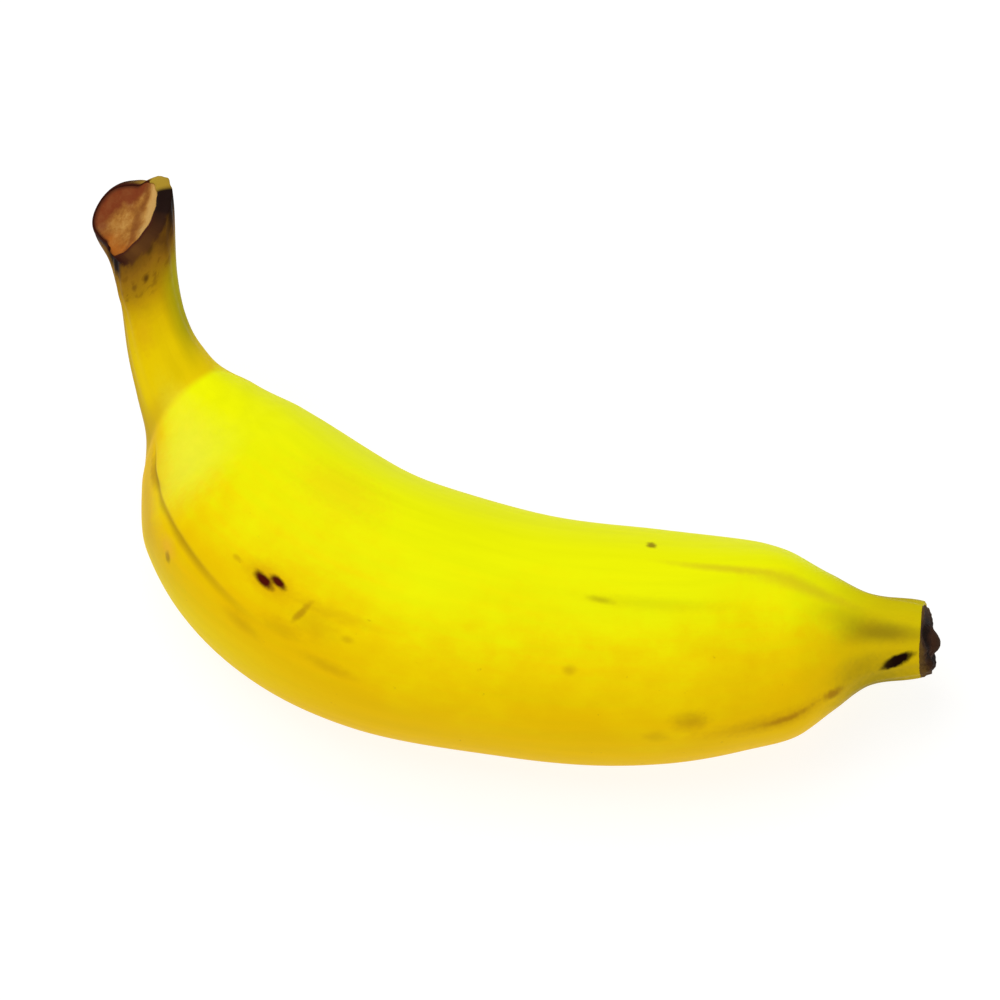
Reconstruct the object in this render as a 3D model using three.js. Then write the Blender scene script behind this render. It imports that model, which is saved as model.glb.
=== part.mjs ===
import * as THREE from "three";

// A short, stout ripe banana lying on its side. It grew as one piece, so it is one closed solid.
// Lengths are millimetres. X runs from the stem to the tip, Y points to the inside of the bend
// and Z is up. The origin is on the surface that the fruit lies on, under the middle of its box.

// Mid line, from the middle of the cut through the stem to the end of the tip
const MID_LINE = [
  [-68.9, 3, 47], // middle of the cut
  [-65.3, -2, 39], // stem, which rises away from the surface
  [-60.1, -7.7, 31],
  [-54, -11.5, 24.5], // shoulder, where the stem runs into the body
  [-40.5, -19, 18.6],
  [-22.5, -25, 19.4],
  [-4.5, -25, 19.5], // outermost part of the bend
  [16.5, -18.5, 18.4],
  [35.5, -9, 17.7],
  [49.5, 1, 16.8],
  [62.5, 8.5, 18], // neck of the tip
  [71.5, 12.3, 19.2], // end of the tip
];

// Sections across the mid line. Each row gives the distance along it, the half width to the side
// and the half height, how strongly the five ridges stand out (0 is round), and how far the
// section leans along the mid line for each millimetre to the side and upwards.
const SECTIONS = [
  [0, 5.6, 4.8, 0.25, -0.88, 0.75], // oblique cut
  [6, 5.7, 5.7, 0.3, -0.8, 0.6],
  [13, 5.4, 5.7, 0.35, -0.5, 0.25], // slimmest part of the stem
  [21, 6.2, 6.2, 0.4, -0.42, 0.12],
  [27, 7.4, 7.2, 0.4, -0.42, 0.1],
  [32, 9.4, 8.9, 0.5, -0.38, 0.08], // shoulder
  [38, 14.2, 13.1, 0.5, -0.27, 0.05],
  [47, 19.8, 18, 0.45, -0.14, 0.03],
  [63, 22.6, 20.6, 0.3, 0, 0], // thickest part of the body
  [84, 22.8, 20.6, 0.22, 0, 0],
  [105, 21.4, 19.4, 0.22, 0, 0],
  [126, 20.8, 18.8, 0.3, 0, 0],
  [140, 19.8, 18.2, 0.5, 0, 0],
  [149, 18.2, 17.2, 0.7, 0, 0],
  [156, 13.7, 13.3, 0.9, 0, 0],
  [162, 9.4, 9.4, 1, 0, 0], // neck of the tip
  [169, 7.4, 7.4, 0.6, 0, 0],
];

// Angles of the five ridges round the section, in degrees from the inside of the bend over the
// top, where they leave the stem and where they reach the tip
const RIDGES_AT_STEM = [-45, 52, 106, 129, 235];
const RIDGES_AT_TIP = [-25, 80, 137, 175, 250];
const RIDGE_SHARPNESS = 7;

// Middle of the fruit's box in the frame of the points above, which is placed over the origin
const BOX_MIDDLE = [-1.523, -14.661];

// Grid: rings along the mid line, given as [from, to, step], and columns between two ridges
const RING_STRETCHES = [
  [0, 12, 1.5],
  [12, 24, 2],
  [24, 40, 1.25],
  [40, 52, 2],
  [52, 136, 4],
  [136, 169, 2],
];
const COLUMNS_PER_SIDE = 12;
const MID_LINE_STEPS = 800;

// Length over which the mid line's direction is averaged, so that no ring leaves a crease
const DIRECTION_SPAN = 14;
const DIRECTION_SAMPLES = 15;

// Flare of the stem towards the hand of fruit that it was cut from
const FLARE = { height: 6.3, reach: 5.4, angle: 235, narrowness: 6 };

// Fold where the shoulder swells out over the end of the stem. It bows back from its place on the
// top, sinks slowly on the stem's side and rises fast on the shoulder's side.
const FOLD = { at: 28.3, bow: 4.2, latest: 36, top: 100, depth: 0.9, stemSide: 3.2, shoulderSide: 1.4 };
const FOLD_SPREAD = { angle: 120, halfAngle: 75 };

// Groove that runs from the fold into the outer ridge and fades out along the body
const GROOVE = { ridge: 3, depth: 0.7, halfWidth: 1.2, from: 33, full: 42, fading: 55, to: 75 };

// Cut face of the stem: rings of [share of the end section, height over its plane]. The lip round
// the face is widest towards the inside of the bend, so the face sits off the middle of the
// section, by a share of its height, where the rings have shrunk to the lip's inner edge.
const CUT_FACE = [
  [0.93, 0.5],
  [0.82, 0.75],
  [0.74, 0.5],
  [0.5, 0.1],
  [0.25, 0],
];
const CUT_FACE_OFFSET = -0.36;
const LIP_INNER_EDGE = 0.74;

// Dried end of the blossom: a ragged rim, a shallow ring inside it and a nub in the middle
const BLOSSOM_END = [
  [0.94, 0.6],
  [0.85, 1.1],
  [0.7, 1.3],
  [0.5, 1.1],
  [0.34, 1.5],
  [0.26, 2.6],
  [0.13, 3.1],
];
const RAGGED_RIM = { height: 0.25, lobes: 5, reach: 0.5, slant: 0.35, lowest: 0.2 };

const PEEL_COLOUR = 0xe8cc06;
const PEEL_ROUGHNESS = 0.45;

const radians = THREE.MathUtils.degToRad;

// Smooth curve through rows of [distance, values...], with each slope set by the two neighbours
function smoothRow(rows, distance) {
  const last = rows.length - 1;
  let k = rows.findIndex((row) => row[0] > distance) - 1;
  if (k < 0) k = last - 1;
  const slope = (row, column) => {
    const before = rows[Math.max(row - 1, 0)];
    const after = rows[Math.min(row + 1, last)];
    return (after[column] - before[column]) / (after[0] - before[0]);
  };
  const step = rows[k + 1][0] - rows[k][0];
  const u = (distance - rows[k][0]) / step;
  return rows[k].slice(1).map((value, i) => {
    const column = i + 1;
    return (1 + 2 * u) * (1 - u) ** 2 * value
      + u * (1 - u) ** 2 * step * slope(k, column)
      + u * u * (3 - 2 * u) * rows[k + 1][column]
      - u * u * (1 - u) * step * slope(k + 1, column);
  });
}

// Bell that is 1 at 0 and fades to nothing at about twice the half width
function bell(distance, halfWidth) {
  return Math.exp(-((distance / halfWidth) ** 2));
}

// Direction of the mid line, averaged over a span that shrinks to nothing at its ends
function directionAt(midLine, distance) {
  const length = midLine.getLength();
  const span = Math.min(DIRECTION_SPAN, 2 * distance, 2 * (length - distance));
  const sum = new THREE.Vector3();
  for (let k = 0; k < DIRECTION_SAMPLES; k++) {
    const near = distance + span * (k / (DIRECTION_SAMPLES - 1) - 0.5);
    sum.add(midLine.getTangentAt(near / length));
  }
  return sum.normalize();
}

// Place, direction along the fruit, direction to the inside of the bend and direction upwards
function frameAt(midLine, distance) {
  const along = directionAt(midLine, distance);
  const up = new THREE.Vector3(0, 0, 1).addScaledVector(along, -along.z).normalize();
  const inward = new THREE.Vector3().crossVectors(up, along);
  return { middle: midLine.getPointAt(distance / midLine.getLength()), along, inward, up };
}

// Ridge angles at a share of the fruit's length
function ridgesAt(share) {
  return RIDGES_AT_STEM.map((angle, i) => radians(THREE.MathUtils.lerp(angle, RIDGES_AT_TIP[i], share)));
}

// The next ridge round the section, a full turn on after the last one
function nextRidge(ridges, i) {
  return i + 1 < ridges.length ? ridges[i + 1] : ridges[0] + 2 * Math.PI;
}

// Column angles: a column runs along each ridge, and columns are closer together beside it
function columnAngles(ridges) {
  return ridges.flatMap((ridge, i) => {
    const gap = nextRidge(ridges, i) - ridge;
    return Array.from({ length: COLUMNS_PER_SIDE }, (_, k) => {
      const share = k / COLUMNS_PER_SIDE;
      return ridge + gap * (share / 2 + (1 - Math.cos(Math.PI * share)) / 4);
    });
  });
}

// Rounded five-sided outline whose corners, at the ridges, are at radius 1
function fiveSided(angle, ridges) {
  const sum = ridges.reduce((total, ridge, i) => {
    const next = nextRidge(ridges, i);
    const facing = Math.max(0, Math.cos(angle - (ridge + next) / 2)) / Math.cos((next - ridge) / 2);
    return total + facing ** RIDGE_SHARPNESS;
  }, 0);
  return (sum / 2) ** (-1 / RIDGE_SHARPNESS);
}

// Flare, fold and groove at a point of the skin, in millimetres outwards
function reliefAt(distance, angle, ridges, halfWidth) {
  const flareFacing = Math.max(0, Math.cos(angle - radians(FLARE.angle)));
  const flare = FLARE.height * bell(distance, FLARE.reach) * flareFacing ** FLARE.narrowness;
  const degrees = THREE.MathUtils.radToDeg(angle);
  const foldAt = FOLD.at + FOLD.bow * ((degrees - FOLD.top) / FOLD_SPREAD.halfAngle) ** 2;
  const past = distance - Math.min(foldAt, FOLD.latest);
  const fold = FOLD.depth * bell(past, past < 0 ? FOLD.stemSide : FOLD.shoulderSide)
    * bell(degrees - FOLD_SPREAD.angle, FOLD_SPREAD.halfAngle);
  const begun = THREE.MathUtils.smoothstep(distance, GROOVE.from, GROOVE.full);
  const left = 1 - THREE.MathUtils.smoothstep(distance, GROOVE.fading, GROOVE.to);
  const groove = GROOVE.depth * begun * left
    * bell((angle - ridges[GROOVE.ridge]) * halfWidth, GROOVE.halfWidth);
  return flare - fold - groove;
}

// One ring of the skin. What would lie below the surface is pressed flat, as soft skin is.
function skinRing(midLine, distance) {
  const { middle, along, inward, up } = frameAt(midLine, distance);
  const [halfWidth, halfHeight, ridged, leanInward, leanUp] = smoothRow(SECTIONS, distance);
  const ridges = ridgesAt(distance / midLine.getLength());
  return columnAngles(ridges).map((angle) => {
    const shape = THREE.MathUtils.lerp(1, fiveSided(angle, ridges), ridged);
    const radius = shape + reliefAt(distance, angle, ridges, halfWidth) / halfWidth;
    const sideways = halfWidth * radius * Math.cos(angle);
    const upwards = halfHeight * radius * Math.sin(angle);
    const point = middle.clone()
      .addScaledVector(inward, sideways)
      .addScaledVector(up, upwards)
      .addScaledVector(along, leanInward * sideways + leanUp * upwards);
    point.z = Math.max(point.z, 0);
    return point;
  });
}

// Distances of all rings along the mid line
function ringDistances(length) {
  const distances = RING_STRETCHES.flatMap(([from, to, step]) =>
    Array.from({ length: Math.round((to - from) / step) }, (_, i) => from + i * step));
  return [...distances, length];
}

function middleOf(ring) {
  return ring.reduce((sum, point) => sum.add(point), new THREE.Vector3()).divideScalar(ring.length);
}

// Shrinking rings that close an end section, moved outwards by their heights and sideways by an
// offset, which is complete where the rings have shrunk to a share
function capRings(ring, outward, rows, heightAt, offset = new THREE.Vector3(), completeAt = 0) {
  const middle = middleOf(ring);
  return rows.map(([share, height]) => ring.map((point, i) => point.clone()
    .sub(middle)
    .multiplyScalar(share)
    .add(middle)
    .addScaledVector(offset, Math.min(1, (1 - share) / (1 - completeAt)))
    .addScaledVector(outward, heightAt(share, height, i))));
}

// Oblique cut through the stem: a bevelled lip, then a slightly dished face of cut fibres
function cutRings(ring) {
  const middle = middleOf(ring);
  const quarter = ring.length / 4;
  const toSide = ring[0].clone().sub(middle);
  const toTop = ring[Math.round(quarter)].clone().sub(middle);
  const outward = new THREE.Vector3().crossVectors(toTop, toSide).normalize();
  const offset = toTop.multiplyScalar(CUT_FACE_OFFSET);
  return capRings(ring, outward, CUT_FACE, (share, height) => height, offset, LIP_INNER_EDGE);
}

// Dried blossom end, whose rim is ragged, higher where the five ridges end and worn on one side
function blossomRings(ring, along) {
  const perLobe = ring.length / RAGGED_RIM.lobes;
  const heightAt = (share, height, i) => {
    if (share <= RAGGED_RIM.reach) return height;
    const ragged = Math.cos((2 * Math.PI * i) / perLobe);
    const worn = Math.cos(2 * Math.PI * (i / ring.length - RAGGED_RIM.lowest));
    return height * (1 - RAGGED_RIM.slant * worn) + RAGGED_RIM.height * ragged;
  };
  return capRings(ring, along, BLOSSOM_END, heightAt);
}

// Closed mesh from rings of equal size, with one point in the middle of each end
function closedSurface(rings) {
  const count = rings[0].length;
  const points = [...rings.flat(), middleOf(rings[0]), middleOf(rings.at(-1))];
  const firstPole = points.length - 2;
  const lastPole = points.length - 1;
  const index = [];
  for (let ring = 0; ring + 1 < rings.length; ring++) {
    for (let i = 0; i < count; i++) {
      const a = ring * count + i;
      const b = ring * count + ((i + 1) % count);
      index.push(a, b + count, a + count, a, b, b + count);
    }
  }
  for (let i = 0; i < count; i++) {
    const next = (i + 1) % count;
    const lastRing = (rings.length - 1) * count;
    index.push(firstPole, next, i);
    index.push(lastPole, lastRing + i, lastRing + next);
  }
  const geometry = new THREE.BufferGeometry().setFromPoints(points);
  geometry.setIndex(index);
  geometry.computeVertexNormals();
  return geometry;
}

function makeBanana() {
  const points = MID_LINE.map((place) => new THREE.Vector3(...place));
  const midLine = new THREE.CatmullRomCurve3(points, false, "catmullrom", 0.5);
  midLine.arcLengthDivisions = MID_LINE_STEPS;
  const length = midLine.getLength();
  const skin = ringDistances(length).map((distance) => skinRing(midLine, distance));
  const cut = cutRings(skin[0]).reverse();
  const blossom = blossomRings(skin.at(-1), frameAt(midLine, length).along);
  const peel = new THREE.MeshStandardMaterial({
    color: PEEL_COLOUR,
    roughness: PEEL_ROUGHNESS,
    metalness: 0,
  });
  const banana = new THREE.Mesh(closedSurface([...cut, ...skin, ...blossom]), peel);
  banana.name = "banana";
  banana.position.set(-BOX_MIDDLE[0], -BOX_MIDDLE[1], 0);
  return banana;
}

const model = new THREE.Group();
model.add(makeBanana());

export default model;
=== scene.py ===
# %% [markdown]
# # A short, stout ripe banana
# The fruit lies on its side on a pale table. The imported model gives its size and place, and this
# lesson grows a finer skin over the same form, then paints it with shader nodes. X runs from the
# stem to the tip, Y points to the inside of the bend and Z is up.

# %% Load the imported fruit
import math

import bpy
import numpy as np
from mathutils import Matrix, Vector


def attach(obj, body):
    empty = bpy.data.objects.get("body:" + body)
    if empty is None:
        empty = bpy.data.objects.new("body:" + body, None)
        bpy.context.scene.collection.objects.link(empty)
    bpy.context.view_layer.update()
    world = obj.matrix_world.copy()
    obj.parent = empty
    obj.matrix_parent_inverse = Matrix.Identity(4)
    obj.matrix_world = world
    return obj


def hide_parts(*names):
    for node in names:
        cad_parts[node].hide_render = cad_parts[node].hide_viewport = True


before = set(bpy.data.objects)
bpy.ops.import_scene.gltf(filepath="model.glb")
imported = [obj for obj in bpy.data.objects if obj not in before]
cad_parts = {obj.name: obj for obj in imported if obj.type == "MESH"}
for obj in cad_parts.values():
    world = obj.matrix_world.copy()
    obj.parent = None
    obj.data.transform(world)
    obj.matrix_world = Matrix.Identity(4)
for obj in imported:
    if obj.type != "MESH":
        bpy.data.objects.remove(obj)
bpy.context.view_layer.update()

MM = 0.001

# %% [markdown]
# ## The mid line
# A banana bends because its outer side grew longer towards the light. The bend could be a Curve
# object, but a formula gives the place and the direction at any distance at once, which the skin
# needs. The twelve points are those of the solid, in millimetres.

# %% Points of the mid line
MID_LINE = np.array([
    [-68.9, 3, 47],  # middle of the cut
    [-65.3, -2, 39],  # stem
    [-60.1, -7.7, 31],
    [-54, -11.5, 24.5],  # shoulder
    [-40.5, -19, 18.6],
    [-22.5, -25, 19.4],
    [-4.5, -25, 19.5],  # outermost part of the bend
    [16.5, -18.5, 18.4],
    [35.5, -9, 17.7],
    [49.5, 1, 16.8],
    [62.5, 8.5, 18],  # neck of the tip
    [71.5, 12.3, 19.2],  # end of the tip
])
BOX_MIDDLE = np.array([-1.523, -14.661, 0])
MID_LINE_STEPS = 2000
DIRECTION_SPAN, DIRECTION_SAMPLES = 14, 15


def point_on_mid_line(share):
    """Places and slopes at shares 0 to 1 of the points: between two points a cubic whose slopes are
    half the step from the point before to the point after, with the ends carried on straight."""
    before, after = 2 * MID_LINE[0] - MID_LINE[1], 2 * MID_LINE[-1] - MID_LINE[-2]
    points = np.vstack([before, MID_LINE, after])
    spans = len(MID_LINE) - 1
    k = np.minimum((share * spans).astype(int), spans - 1)
    t = (share * spans - k)[:, None]
    a, b, c, d = (points[k + i] for i in range(4))
    slope_b, slope_c = (c - a) / 2, (d - b) / 2
    cubic, square = 2 * b - 2 * c + slope_b + slope_c, 3 * c - 3 * b - 2 * slope_b - slope_c
    place = b + slope_b * t + square * t ** 2 + cubic * t ** 3
    slope = slope_b + 2 * square * t + 3 * cubic * t ** 2
    return place - BOX_MIDDLE, slope


mid_places, mid_slopes = point_on_mid_line(np.linspace(0, 1, MID_LINE_STEPS))
mid_distances = np.append(0, np.cumsum(np.linalg.norm(np.diff(mid_places, axis=0), axis=1)))
LENGTH = mid_distances[-1]
print(f"mid line: {LENGTH:.1f} mm long")


def unit(rows):
    """Rows of directions at length 1."""
    return rows / np.linalg.norm(rows, axis=1)[:, None]


def read_mid_line(values, distances):
    """Values of the mid line's points at any distances, read off in straight steps."""
    return np.stack([np.interp(distances, mid_distances, values[:, i]) for i in range(3)], 1)


def frames_at(distances):
    """Place, direction along, direction inwards and direction up at each distance. The direction along
    is averaged over a span that shrinks to nothing at the ends, so that no ring leaves a crease. Up is
    Z less its part along the fruit, and inwards stands square to both."""
    span = np.minimum(DIRECTION_SPAN, 2 * np.minimum(distances, LENGTH - distances))
    slopes = unit(mid_slopes)
    shares = np.linspace(-0.5, 0.5, DIRECTION_SAMPLES)
    along = unit(sum(read_mid_line(slopes, distances + share * span) for share in shares))
    up = unit(np.array([0, 0, 1]) - along[:, 2:] * along)
    return read_mid_line(mid_places, distances), along, np.cross(up, along), up


# %% [markdown]
# ## Sections across the fruit
# Cut across, a banana is a rounded five-sided figure: five bundles of fibres run under five soft
# ridges. The stem is slim, the body swells quickly at the shoulder, and the tip has a ridged neck.
# A handful of sections with a smooth curve through them keeps every size readable.

# %% Sections and their smooth curve
# distance, half width, half height, ridge strength, lean inwards, lean up
SECTIONS = np.array([
    [0, 5.6, 4.8, 0.25, -0.88, 0.75],  # oblique cut
    [6, 5.7, 5.7, 0.3, -0.8, 0.6],
    [13, 5.4, 5.7, 0.35, -0.5, 0.25],  # slimmest part of the stem
    [21, 6.2, 6.2, 0.4, -0.42, 0.12],
    [27, 7.4, 7.2, 0.4, -0.42, 0.1],
    [32, 9.4, 8.9, 0.5, -0.38, 0.08],  # shoulder
    [38, 14.2, 13.1, 0.5, -0.27, 0.05],
    [47, 19.8, 18, 0.45, -0.14, 0.03],
    [63, 22.6, 20.6, 0.3, 0, 0],  # thickest part of the body
    [84, 22.8, 20.6, 0.22, 0, 0],
    [105, 21.4, 19.4, 0.22, 0, 0],
    [126, 20.8, 18.8, 0.3, 0, 0],
    [140, 19.8, 18.2, 0.5, 0, 0],
    [149, 18.2, 17.2, 0.7, 0, 0],
    [156, 13.7, 13.3, 0.9, 0, 0],
    [162, 9.4, 9.4, 1, 0, 0],  # neck of the tip
    [169, 7.4, 7.4, 0.6, 0, 0],
])
RIDGES_AT_STEM = np.radians([-45, 52, 106, 129, 235])
RIDGES_AT_TIP = np.radians([-25, 80, 137, 175, 250])
RIDGE_SHARPNESS = 7


def smooth_rows(rows, distances):
    """Cubic curve through rows of distance and values, each slope set by the rows on both sides."""
    x, values = rows[:, 0], rows[:, 1:]
    before, after = np.maximum(np.arange(len(x)) - 1, 0), np.minimum(np.arange(len(x)) + 1, len(x) - 1)
    slopes = (values[after] - values[before]) / (x[after] - x[before])[:, None]
    k = np.clip(np.searchsorted(x, distances, side="right") - 1, 0, len(x) - 2)
    step = (x[k + 1] - x[k])[:, None]
    u = ((distances - x[k])[:, None]) / step
    return ((1 + 2 * u) * (1 - u) ** 2 * values[k] + u * (1 - u) ** 2 * step * slopes[k]
            + u * u * (3 - 2 * u) * values[k + 1] - u * u * (1 - u) * step * slopes[k + 1])


def ridges_at(distances):
    """Angles of the five ridges, which turn slowly from their places at the stem to those at the tip."""
    share = (distances / LENGTH)[:, None]
    return RIDGES_AT_STEM * (1 - share) + RIDGES_AT_TIP * share


def ridges_after(ridges):
    """Angle of the ridge that follows each one; the last is followed by the first, a turn further."""
    return np.roll(ridges, -1, axis=1) + np.array([0, 0, 0, 0, 2 * np.pi])


def five_sided(angles, ridges):
    """Rounded five-sided outline. Each side is a straight line in polar form, the five are joined by
    a soft largest value, and the corners, at the ridges, are at radius 1."""
    following = ridges_after(ridges)
    middles, half_gaps = (ridges + following) / 2, (following - ridges) / 2
    facing = np.maximum(0, np.cos(angles[:, :, None] - middles[:, None])) / np.cos(half_gaps)[:, None]
    return ((facing ** RIDGE_SHARPNESS).sum(2) / 2) ** (-1 / RIDGE_SHARPNESS)


# %% [markdown]
# ## Relief of the skin
# The shoulder swells out over the end of the stem and leaves a fold, a groove runs from there along
# the outer side, and the lip of the cut is drawn out where the stem sat on its hand. Dried ribs run
# down the stem and up the neck. All of it is real height in the mesh, in millimetres outwards.

# %% Fold, groove, flare and ribs
FLARE = dict(height=6.3, reach=5.4, angle=235, narrowness=6)
FOLD = dict(at=28.3, bend=4.2, latest=36, middle=100, deepest=120, spread=75, depth=0.75, before=3.2,
            after=1.3)
GROOVE_LINE = np.array([  # distance, degrees round
    [30, 156], [35, 149], [40, 140.5], [46, 136], [57, 137], [65, 141], [72, 145.5], [80, 150],
])
GROOVE = dict(depth=0.6, half_width=0.75, start=31, full=36, fading=54, end=76)
STEM_RIBS = dict(count=13, height=0.09, twist=0.12, full=20, end=33)
NECK_RIBS = dict(count=17, height=0.12, twist=0.1, start=150, full=164)
UNEVEN = dict(height=0.16, rates=(0.03, 0.16), turns=(1, 2, 2, 3, 3, 4), start=30, full=50, fading=145,
              end=160)
seeded = np.random.default_rng(11)
UNEVEN_WAVES = [(seeded.uniform(*UNEVEN["rates"]), turns, seeded.uniform(0, 2 * np.pi))
                for turns in UNEVEN["turns"]]


def bell(distance, half_width):
    """1 in the middle, fading to nothing at about twice the half width."""
    return np.exp(-(distance / half_width) ** 2)


def rise(start, end, value):
    """0 before start, 1 after end, and a smooth step between."""
    t = np.clip((value - start) / (end - start), 0, 1)
    return t * t * (3 - 2 * t)


def fold_place(degrees):
    """Distance of the fold at an angle: a shallow bow, furthest up the stem on the top."""
    bow = ((degrees - FOLD["middle"]) / FOLD["spread"]) ** 2
    return np.minimum(FOLD["at"] + FOLD["bend"] * bow, FOLD["latest"])


def relief(distances, angles, half_width):
    """Sum of all reliefs at a grid of distances and angles."""
    s, degrees = distances[:, None], np.degrees(angles)
    facing = np.maximum(0, np.cos(angles - np.radians(FLARE["angle"])))
    flare = FLARE["height"] * bell(s, FLARE["reach"]) * facing ** FLARE["narrowness"]
    past = s - fold_place(degrees)
    fold = FOLD["depth"] * np.where(past < 0, bell(past, FOLD["before"]), bell(past, FOLD["after"]))
    fold = fold * bell(degrees - FOLD["deepest"], FOLD["spread"])
    line = np.radians(np.interp(distances, GROOVE_LINE[:, 0], GROOVE_LINE[:, 1]))[:, None]
    shown = rise(GROOVE["start"], GROOVE["full"], s) * (1 - rise(GROOVE["fading"], GROOVE["end"], s))
    groove = GROOVE["depth"] * shown * bell((angles - line) * half_width, GROOVE["half_width"])
    stem_ribs = STEM_RIBS["height"] * np.cos(STEM_RIBS["count"] * angles + STEM_RIBS["twist"] * s)
    stem_ribs = stem_ribs * (1 - rise(STEM_RIBS["full"], STEM_RIBS["end"], s))
    neck_ribs = NECK_RIBS["height"] * np.cos(NECK_RIBS["count"] * angles + NECK_RIBS["twist"] * s)
    neck_ribs = neck_ribs * rise(NECK_RIBS["start"], NECK_RIBS["full"], s)
    uneven = sum(np.cos(rate * s + start) * np.cos(turns * angles + 3 * start)
                 for rate, turns, start in UNEVEN_WAVES) * UNEVEN["height"]
    on_body = rise(UNEVEN["start"], UNEVEN["full"], s) * (1 - rise(UNEVEN["fading"], UNEVEN["end"], s))
    return flare - fold - groove + stem_ribs + neck_ribs + uneven * on_body


# %% [markdown]
# ## The skin as a grid
# Every ring crosses the fruit at one distance and every column keeps its place between two ridges,
# so the mesh flows along the fruit as its fibres do. Rings stand closer where the form is small.
# Skin that would sink below the table is pressed flat, as a soft peel is.

# %% Rings and columns of the skin
RING_STRETCHES = [(0, 40, 0.42), (40, 148, 0.6), (148, LENGTH, 0.4)]
COLUMNS_PER_SIDE = 48


def skin_grid(distances):
    """Points of the skin and the angle of each. A point is the mid line's place plus half width and
    half height times the outline's radius, leaning along the fruit where the section leans. Columns
    stand closer by the ridges."""
    middle, along, inward, up = frames_at(distances)
    half_width, half_height, ridged, lean_in, lean_up = smooth_rows(SECTIONS, distances).T[:, :, None]
    ridges = ridges_at(distances)
    share = np.arange(COLUMNS_PER_SIDE) / COLUMNS_PER_SIDE
    share = share / 2 + (1 - np.cos(np.pi * share)) / 4
    gaps = ridges_after(ridges) - ridges
    angles = (ridges[:, :, None] + gaps[:, :, None] * share).reshape(len(distances), -1)
    radius = 1 + ridged * (five_sided(angles, ridges) - 1)
    radius = radius + relief(distances, angles, half_width) / half_width
    sideways = half_width * radius * np.cos(angles)
    upwards = half_height * radius * np.sin(angles)
    leaning = lean_in * sideways + lean_up * upwards
    points = (middle[:, None] + sideways[..., None] * inward[:, None] + upwards[..., None] * up[:, None]
              + leaning[..., None] * along[:, None])
    points[..., 2] = np.maximum(points[..., 2], 0)
    return points, angles, sideways, upwards


ring_places = np.concatenate([np.arange(a, b, step) for a, b, step in RING_STRETCHES] + [[LENGTH]])
skin, skin_angles, skin_side, skin_up = skin_grid(ring_places)
print("skin:", skin.shape[0], "rings of", skin.shape[1], "points")

# %% [markdown]
# ## Closing the two ends
# The cut through the stem has a bevelled lip, widest between the top and the inside of the bend, and
# the tip ends where the blossom dried off. Rings that shrink towards the middle follow a short
# profile of share and height, so lip and dish are one surface with the skin, which dips under the
# two end pieces.

# %% Shrinking rings for the ends
CUT_LIP = [(0.985, 0.25), (0.95, 0.45), (0.91, 0.62), (0.87, 0.74), (0.835, 0.76), (0.81, 0.62), (0.795, 0.3),
           (0.785, -0.4), (0.6, -0.6), (0.3, -0.6)]
TIP_RIM = [(0.995, 0.15), (0.98, 0.28), (0.955, 0.3), (0.93, 0.1), (0.9, -0.5), (0.6, -0.6), (0.3, -0.6)]
FACE_OFFSET = -0.36
LIP_INNER_EDGE = 0.785
FACE_REACH = dict(share=0.13, angle=150, half_width=38)


def end_frame(ring):
    """Way from the middle of an end ring to the point a quarter round it, and the direction outwards,
    square to that way and to the one to the first point."""
    middle = ring.mean(0)
    to_first, to_quarter = ring[0] - middle, ring[len(ring) // 4] - middle
    outward = np.cross(to_quarter, to_first)
    return to_quarter, outward / np.linalg.norm(outward)


def shrinking_rings(ring, outward, shares, heights, offset=np.zeros(3), complete_at=0):
    """Rings made from one ring: each is drawn towards its middle by a share and stands off outwards by
    a height, which may both vary round it. It also slides by the offset, times (1 - share) over
    (1 - complete_at) and at most 1."""
    middle = ring.mean(0)
    heights = np.asarray(heights, float).reshape(len(shares), -1)[..., None]
    shares = np.asarray(shares, float).reshape(len(shares), -1)[..., None]
    slide = np.minimum(1, (1 - shares.min(1, keepdims=True)) / (1 - complete_at)) * offset
    return middle + shares * (ring - middle) + slide + heights * outward


def reaching_shares(shares, angles):
    """Shares that are larger on the side where the face reaches further down the stem: a bell round the
    ring, in full at the lip's inner edge and fading to nothing at the outer ring and in the middle."""
    shares = np.asarray(shares)[:, None]
    fading = np.where(shares > LIP_INNER_EDGE, (1 - shares) / (1 - LIP_INNER_EDGE), shares / LIP_INNER_EDGE)
    reach = bell(np.degrees(angles) - FACE_REACH["angle"], FACE_REACH["half_width"])
    return shares + FACE_REACH["share"] * fading * reach


to_quarter, cut_outward = end_frame(skin[0])
cut_slide = dict(offset=to_quarter * FACE_OFFSET, complete_at=LIP_INNER_EDGE)
tip_outward = frames_at(np.array([LENGTH]))[1][0]
lip_shares, lip_heights = zip(*CUT_LIP)
lip_shares = reaching_shares(lip_shares, skin_angles[0])
cut_lip = shrinking_rings(skin[0], cut_outward, lip_shares, lip_heights, **cut_slide)
tip_rim = shrinking_rings(skin[-1], tip_outward, *zip(*TIP_RIM))
print("the cut faces", cut_outward.round(2), "and the tip", tip_outward.round(2))

# %% [markdown]
# ## From grid to mesh
# One function turns any stack of equal rings into a closed mesh with a single point in the middle of
# each end. It also keeps two maps on the surface: how far along and how far round each point is,
# which the markings need, and a plain unrolled sheet, which gives every part of the peel its own
# share of a picture when the finish is baked.


# %% Closed mesh from rings
def add_object(name, data):
    """Object with its data, linked to the scene."""
    added = bpy.data.objects.new(name, data)
    bpy.context.scene.collection.objects.link(added)
    return added


def with_middles(rings):
    """Points of all rings, then the middle of the first and of the last one."""
    return np.vstack([rings.reshape(-1, 3), rings[0].mean(0), rings[-1].mean(0)])


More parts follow.
